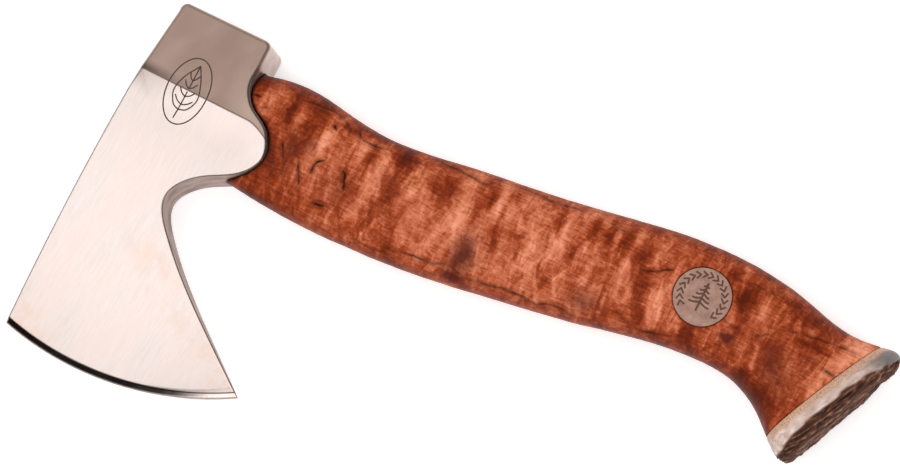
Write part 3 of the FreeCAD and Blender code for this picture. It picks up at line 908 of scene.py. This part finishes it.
def disc_strokes(centre):
    """A small spruce inside a wreath of needle pairs, with their half widths, in millimetres."""
    x, y = centre
    strokes = [([(x, y - 5.0), (x, y + 4.8)], 0.34)]
    for step in range(5):
        tip_y = y - 2.9 + 1.6 * step
        reach = 3.5 - 0.65 * step
        for side in (-1, 1):
            strokes.append(([(x, tip_y + 0.9), (x + side * 0.6 * reach, tip_y + 0.1),
                             (x + side * reach, tip_y)], 0.31))
    for turn in np.linspace(-38, 218, 17):
        angle = math.radians(turn)
        outwards = Vector((math.cos(angle), math.sin(angle)))
        onwards = Vector((-outwards.y, outwards.x))
        root = Vector(centre) + WREATH_RADIUS * outwards
        for side in (-1.05, 1.05):
            tip = root + side * outwards + 1.0 * onwards
            strokes.append(([tuple(root - 0.4 * onwards), tuple(tip)], 0.28))
    return strokes


def make_disc(material):
    """The inlaid disc with its lines engraved on top."""
    disc = fine_copy("side_medallion", "engraved_disc", voxel_mm=0.2, smoothing=2)
    places = vertex_places(disc)
    centre, _ = disc_circle()
    line_gap = np.full(len(places), 1.0)
    for points, half_width in disc_strokes(centre):
        gap, _ = beside_path(smooth_path(points, steps=4), places[:, :2])
        line_gap = np.minimum(line_gap, np.abs(gap) - half_width)
    on_top = vertex_normals(disc)[:, 2] > 0.75
    line_gap = np.where(on_top, line_gap, 1.0)
    store(disc, "line_gap", line_gap)
    places[:, 2] -= ENGRAVING_DEPTH * soft_step(-line_gap, -0.1, 0.12)
    move_vertices(disc, places)
    finish_piece(disc, material, "side_medallion")


# ---- stage ----------------------------------------------------------------------------------

CAMERA_AIM = (0.1236, 0.0981)                 # metres in x and y from the head's low corner
CAMERA_TOWARDS_BUTT = math.radians(10.4)      # lean from straight above
CAMERA_TOWARDS_EDGE = math.radians(5.2)
CAMERA_ROLL = math.radians(26.0)
CAMERA_DISTANCE = 2.0
SENSOR_WIDTH = 36                             # millimetres
PICTURE_WIDTH_AT_OBJECT = 0.306               # metres across the picture at the object's distance
LAMP_HEIGHT = 0.95
TABLE_GLOW = 0.38                             # just enough for a white background


def make_camera():
    """A long lens almost straight above, leaning towards the butt and the edge."""
    aim = Vector((HEAD_LOW.x + CAMERA_AIM[0], HEAD_LOW.y + CAMERA_AIM[1], MID_Z))
    back = Vector((math.tan(CAMERA_TOWARDS_BUTT), -math.tan(CAMERA_TOWARDS_EDGE), 1)).normalized()
    level = (Vector((1, 0, 0)) - back * back.x).normalized()
    across = back.cross(level)
    right = level * math.cos(CAMERA_ROLL) + across * math.sin(CAMERA_ROLL)
    up = across * math.cos(CAMERA_ROLL) - level * math.sin(CAMERA_ROLL)
    data = bpy.data.cameras.new("camera")
    data.sensor_width = SENSOR_WIDTH
    data.lens = SENSOR_WIDTH * CAMERA_DISTANCE / PICTURE_WIDTH_AT_OBJECT
    data.clip_end = 50
    camera = add_object("camera", data)
    place = Matrix((right, up, back)).transposed().to_4x4()
    place.translation = aim + back * CAMERA_DISTANCE
    camera.matrix_world = place
    bpy.context.scene.camera = camera


def make_floor():
    """The pale surface that the hatchet lies on."""
    bpy.ops.mesh.primitive_plane_add(size=12)
    floor = bpy.context.object
    floor.name = "floor"
    floor.data.materials.append(floor_paper())


def make_black_card():
    """A card over the toe side, seen only in reflections: it keeps the honed edge dark."""
    bpy.ops.mesh.primitive_plane_add(size=1, location=(-0.66, -0.86, LAMP_HEIGHT))
    card = bpy.context.object
    card.name = "black_card"
    card.scale = (1.4, 0.74, 1)
    card.data.materials.append(black_card_paint())
    card.visible_camera = False
    card.visible_shadow = False
    card.visible_diffuse = False


def make_softbox(name, place, size, radiance, mirrored=True):
    """A lamp facing straight down. One that isn't mirrored lights surfaces, but steel can't see it."""
    data = bpy.data.lights.new(name, "AREA")
    data.shape = "RECTANGLE"
    data.size, data.size_y = size
    data.energy = radiance * math.pi * size[0] * size[1]
    lamp = add_object(name, data)
    lamp.location = place
    lamp.visible_camera = False
    lamp.visible_glossy = mirrored


def make_lights():
    """Two lamps that the steel mirrors, one that it doesn't, and a warm sky all round."""
    make_softbox("key_softbox", (-0.15, -0.25, LAMP_HEIGHT), size=(1.6, 0.36), radiance=1.26)
    make_softbox("heel_softbox", (0.36, -0.62, LAMP_HEIGHT), size=(0.56, 0.34), radiance=1.4)
    make_softbox("fill_softbox", (0.2, 0.1, 1.5), size=(2.2, 2.0), radiance=1.2, mirrored=False)
    world = bpy.data.worlds.new("studio")
    world.use_nodes = True
    background = world.node_tree.nodes["Background"]
    background.inputs["Color"].default_value = (1.0, 0.92, 0.86, 1)
    background.inputs["Strength"].default_value = 0.5
    bpy.context.scene.world = world
    bpy.context.scene.view_settings.view_transform = "Standard"


# ---- the object -----------------------------------------------------------------------------

def dress(node, material):
    """Gives a CAD node's object a new material."""
    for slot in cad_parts[node].material_slots:
        slot.material = material


make_camera()
make_floor()
make_black_card()
make_lights()
steel = head_steel()
dress("axe_head", steel)
dress("steel_wedge", steel)
dress("eye_wedge", end_grain("wedge_wood", srgb(214, 170, 120), srgb(160, 112, 72)))
dowel_wood = end_grain("dowel_wood", srgb(190, 140, 96), srgb(140, 92, 58))
dress("butt_dowel_upper", dowel_wood)
dress("butt_dowel_lower", dowel_wood)
make_disc(engraved_antler())
make_etched_leaf(etched_steel())
make_handle(curly_birch())
make_cap(antler())
